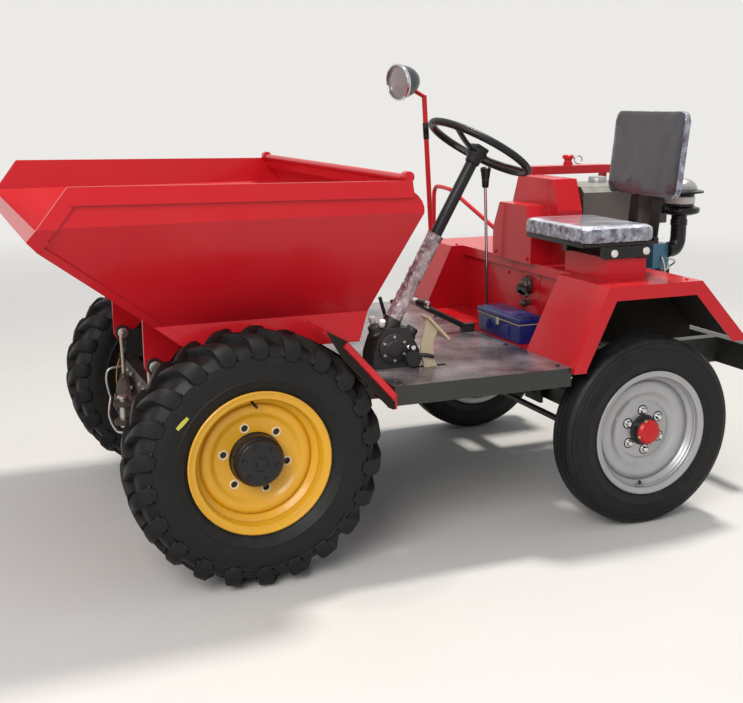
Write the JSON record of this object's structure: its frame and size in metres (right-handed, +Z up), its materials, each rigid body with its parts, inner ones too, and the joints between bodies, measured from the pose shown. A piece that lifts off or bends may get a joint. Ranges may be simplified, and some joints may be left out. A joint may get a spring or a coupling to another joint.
{
  "type": "wheeled site dumper",
  "caption": "Small wheeled site dumper with a front-tipping open skip, lugged drive tyres, ribbed steered rear tyres, a side seat and an open engine at the tail.",
  "frame": {"origin": "on the ground under the middle of the whole machine's box", "axes": "+X forward to the skip's lip, +Y to the driver's left, +Z up"},
  "size_m": [2.69, 1.518, 1.627],
  "materials": {
    "red_paint": "gloss",
    "dark_paint": "satin",
    "raw_iron": "rough",
    "yellow_paint": "satin",
    "silver_paint": "satin",
    "tyre": "matte",
    "engine_blue": "satin",
    "tank_grey": "satin",
    "seat_vinyl": "satin",
    "black_plastic": "satin",
    "pale_paint": "satin",
    "blue_plastic": "gloss",
    "chrome": "polished",
    "lamp_glass": "polished"
  },
  "bodies": {
    "chassis": {"fender_left": "red_paint", "fender_right": "red_paint", "floor_panel": "red_paint", "bulkhead": "red_paint", "hood": "red_paint", "mudguard_left": "red_paint", "mudguard_right": "red_paint", "seat_stand": "red_paint", "hand_rail": "red_paint", "lamp_post": "red_paint", "engine_guard": "red_paint", "frame_rails": "dark_paint", "cross_beams": "dark_paint", "cross_beam_rear": "dark_paint", "hinge_posts": "dark_paint", "gearbox": "dark_paint", "propeller_shaft": "dark_paint", "deck_plate": "dark_paint", "front_axle": "dark_paint", "rear_axle_beam": "dark_paint", "rear_axle_bracket": "dark_paint", "steering_box": "dark_paint", "steering_column": "dark_paint", "exhaust": "dark_paint", "air_cleaner": "dark_paint", "seat_pan": "dark_paint", "seat_bracket": "dark_paint", "tow_jaw": "raw_iron", "flywheel": "raw_iron", "cylinder_head": "raw_iron", "engine_block": "engine_blue", "fuel_tank": "tank_grey", "seat_cushion": "seat_vinyl", "seat_back": "seat_vinyl", "hand_lever": "black_plastic", "gear_lever": "black_plastic", "throttle_control": "black_plastic", "foot_pedal": "pale_paint", "tool_box": "blue_plastic", "headlamp": "chrome", "lamp_lens": "lamp_glass"},
    "skip": {"skip_side_left": "red_paint", "skip_side_right": "red_paint", "skip_back": "red_paint", "skip_floor": "red_paint"},
    "front_wheel_left": {"front_tyre_left": "tyre", "front_wheel_left": "yellow_paint"},
    "front_wheel_right": {"front_tyre_right": "tyre", "front_wheel_right": "yellow_paint"},
    "knuckle_left": {"knuckle_left": "dark_paint"},
    "knuckle_right": {"knuckle_right": "dark_paint"},
    "rear_wheel_left": {"rear_tyre_left": "tyre", "rear_wheel_left": "silver_paint"},
    "rear_wheel_right": {"rear_tyre_right": "tyre", "rear_wheel_right": "silver_paint"},
    "steering": {"steering_wheel": "black_plastic"},
    "tie_link": {"tie_rod": "dark_paint"}
  },
  "joints": [
    {"name": "skip_tip", "type": "hinge", "parent": "chassis", "child": "skip", "pos_m": [0.939, 0, 0.644], "axis": [0, 1, 0], "range_deg": [0, 70]},
    {"name": "front_wheel_spin_left", "type": "hinge", "parent": "chassis", "child": "front_wheel_left", "pos_m": [0.705, 0.619, 0.403], "axis": [0, 1, 0], "continuous": true},
    {"name": "front_wheel_spin_right", "type": "hinge", "parent": "chassis", "child": "front_wheel_right", "pos_m": [0.705, -0.619, 0.403], "axis": [0, 1, 0], "continuous": true},
    {"name": "steer_left", "type": "hinge", "parent": "chassis", "child": "knuckle_left", "pos_m": [-0.705, 0.53, 0.338], "axis": [0, 0, 1], "range_deg": [-28, 28]},
    {"name": "rear_wheel_spin_left", "type": "hinge", "parent": "knuckle_left", "child": "rear_wheel_left", "pos_m": [-0.705, 0.655, 0.338], "axis": [0, 1, 0], "continuous": true},
    {"name": "steer_right", "type": "hinge", "parent": "chassis", "child": "knuckle_right", "pos_m": [-0.705, -0.53, 0.338], "axis": [0, 0, 1], "range_deg": [-28, 28]},
    {"name": "rear_wheel_spin_right", "type": "hinge", "parent": "knuckle_right", "child": "rear_wheel_right", "pos_m": [-0.705, -0.655, 0.338], "axis": [0, 1, 0], "continuous": true},
    {"name": "steering_wheel_turn", "type": "hinge", "parent": "chassis", "child": "steering", "pos_m": [-0.166, 0.42, 1.32], "axis": [-0.4914, 0, 0.8709], "range_deg": [-400, 400]},
    {"name": "tie_rod_slide", "type": "slide", "parent": "chassis", "child": "tie_link", "axis": [0, 1, 0], "range_m": [-0.06, 0.06]}
  ],
  "couplings": [
    {"joint": "steer_right", "follows": "steer_left", "ratio": 1},
    {"joint": "steering_wheel_turn", "follows": "steer_left", "ratio": -14},
    {"joint": "tie_rod_slide", "follows": "steer_left", "m_per_rad": 0.12}
  ]
}
